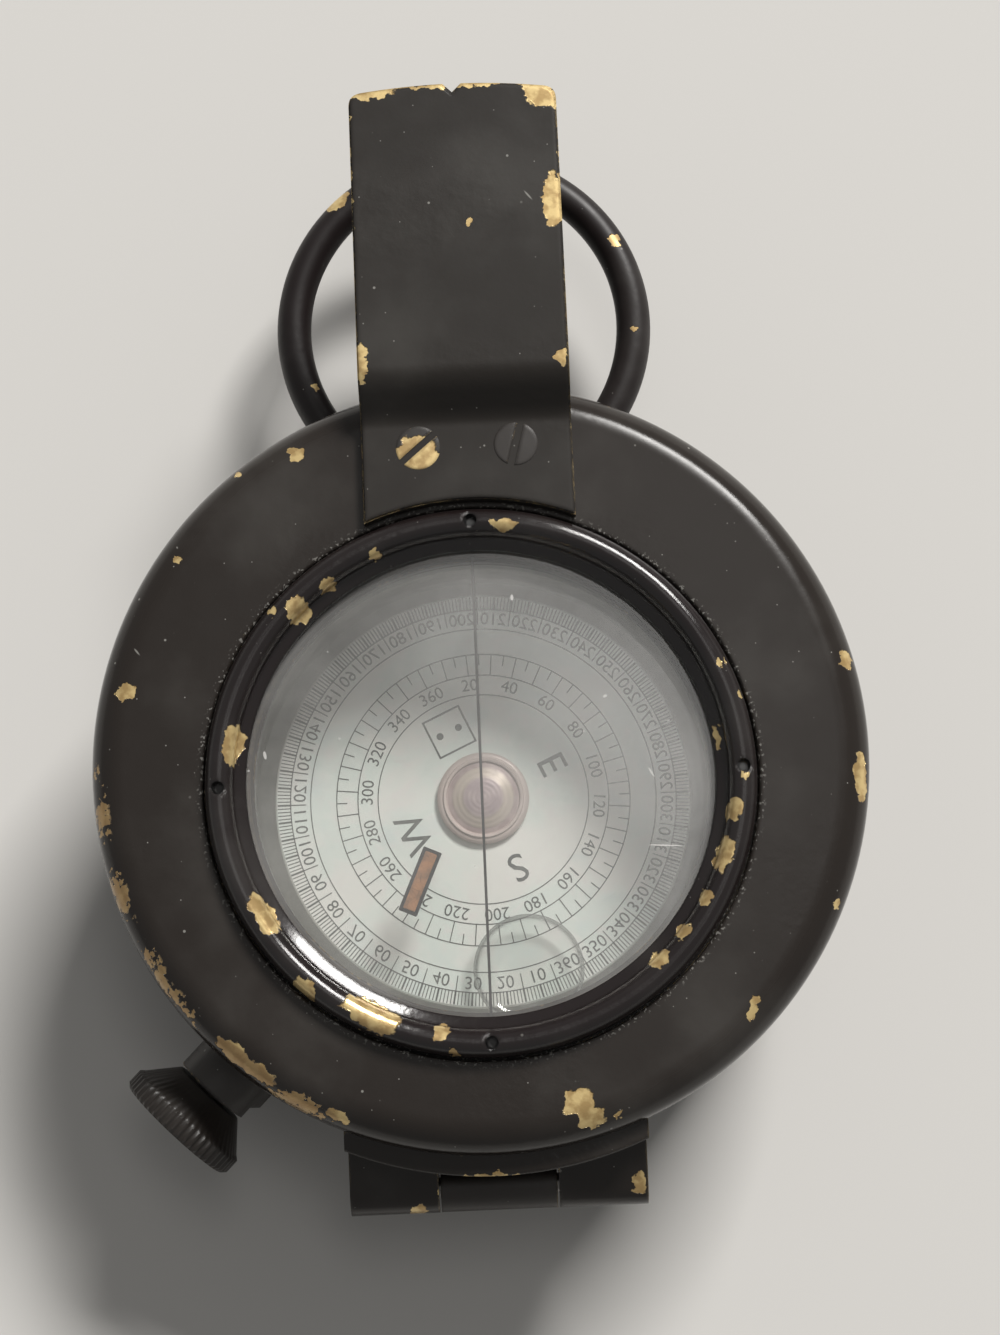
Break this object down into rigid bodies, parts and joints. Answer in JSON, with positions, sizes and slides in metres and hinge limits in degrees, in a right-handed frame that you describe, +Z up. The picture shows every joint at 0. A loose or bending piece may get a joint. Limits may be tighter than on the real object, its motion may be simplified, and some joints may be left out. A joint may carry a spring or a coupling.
{
  "type": "marching compass",
  "caption": "Liquid-filled prismatic marching compass with hinged windowed lid, sighting tongue, turning bezel, folding prism, clamp screw and sling ring.",
  "frame": {"origin": "centre of the flat base, under the pivot of the card", "axes": "+Z up out of the base, +Y along the sighting tongue, +X to the right"},
  "size_m": [0.0626, 0.0925, 0.0281],
  "materials": {
    "black_enamel": "worn satin black enamel over brass",
    "gloss_enamel": "worn gloss black enamel over brass",
    "brass": "turned brass",
    "screw_brass": "worn slotted brass",
    "steel": "drawn steel",
    "rubber": "matt black rubber",
    "gasket": "cork and rubber sheet",
    "glass": "clear glass",
    "pearl": "mother-of-pearl with printed scales",
    "cap_bronze": "pinkish bronze, turned rings",
    "jewel": "polished stone",
    "luminous": "aged luminous paint"
  },
  "bodies": {
    "case": {"case_body": "black_enamel", "base_cover": "black_enamel", "base_screw_1": "screw_brass", "base_screw_2": "screw_brass", "base_screw_3": "screw_brass", "base_rubber_ring": "rubber", "case_hinge_bracket": "black_enamel", "lid_hinge_pin": "steel", "front_bracket": "black_enamel", "prism_hinge_pin": "steel", "liquid_bowl": "brass", "bowl_diaphragm": "brass", "diaphragm_ring": "brass", "filler_plug": "brass", "pivot_post": "steel", "bowl_gasket": "gasket", "bowl_glass": "glass", "bowl_lock_ring": "brass", "clamp_bracket": "black_enamel"},
    "card": {"card": "pearl", "card_cap": "cap_bronze", "card_jewel": "jewel", "card_nut": "brass", "card_magnet_left": "steel", "card_magnet_right": "steel"},
    "bezel": {"bezel": "black_enamel", "bezel_glass": "glass", "bezel_snap_ring": "brass", "bezel_wire": "steel", "direction_mark": "luminous"},
    "lid": {"lid_shell": "black_enamel", "lid_window_gasket": "gasket", "lid_glass": "glass", "lid_window_ring": "gloss_enamel", "lid_spot_rear": "luminous", "lid_spot_front": "luminous", "sight_tongue": "black_enamel", "tongue_screw_left": "screw_brass", "tongue_screw_right": "black_enamel"},
    "prism_box": {"prism_housing": "black_enamel", "prism": "glass", "eye_plate": "black_enamel", "eye_screw_left": "screw_brass", "eye_screw_right": "screw_brass"},
    "sling": {"sling_ring": "black_enamel"},
    "clamp_knob": {"clamp_screw": "black_enamel", "clamp_pad": "brass"}
  },
  "joints": [
    {"name": "lid_hinge", "type": "hinge", "parent": "case", "child": "lid", "pos_m": [0, -0.0319, 0.01432], "axis": [1, 0, 0], "range_deg": [0, 180]},
    {"name": "prism_fold", "type": "hinge", "parent": "case", "child": "prism_box", "pos_m": [0, 0.033, 0.01765], "axis": [1, 0, 0], "range_deg": [0, 180]},
    {"name": "ring_swing", "type": "hinge", "parent": "case", "child": "sling", "pos_m": [0, 0.0322, 0.009], "axis": [1, 0, 0], "range_deg": [-95, 30]},
    {"name": "bezel_turn", "type": "hinge", "parent": "case", "child": "bezel", "pos_m": [0, 0, 0.015], "axis": [0, 0, 1], "continuous": true},
    {"name": "card_swing", "type": "hinge", "parent": "case", "child": "card", "pos_m": [0, 0, 0.0115], "axis": [0, 0, 1], "continuous": true},
    {"name": "clamp_turn", "type": "hinge", "parent": "case", "child": "clamp_knob", "pos_m": [-0.0254, -0.0254, 0.013], "axis": [0.7071, 0.7071, 0], "range_deg": [0, 240]}
  ],
  "couplings": [
    {"joint": "prism_fold", "follows": "lid_hinge", "ratio": 1}
  ]
}
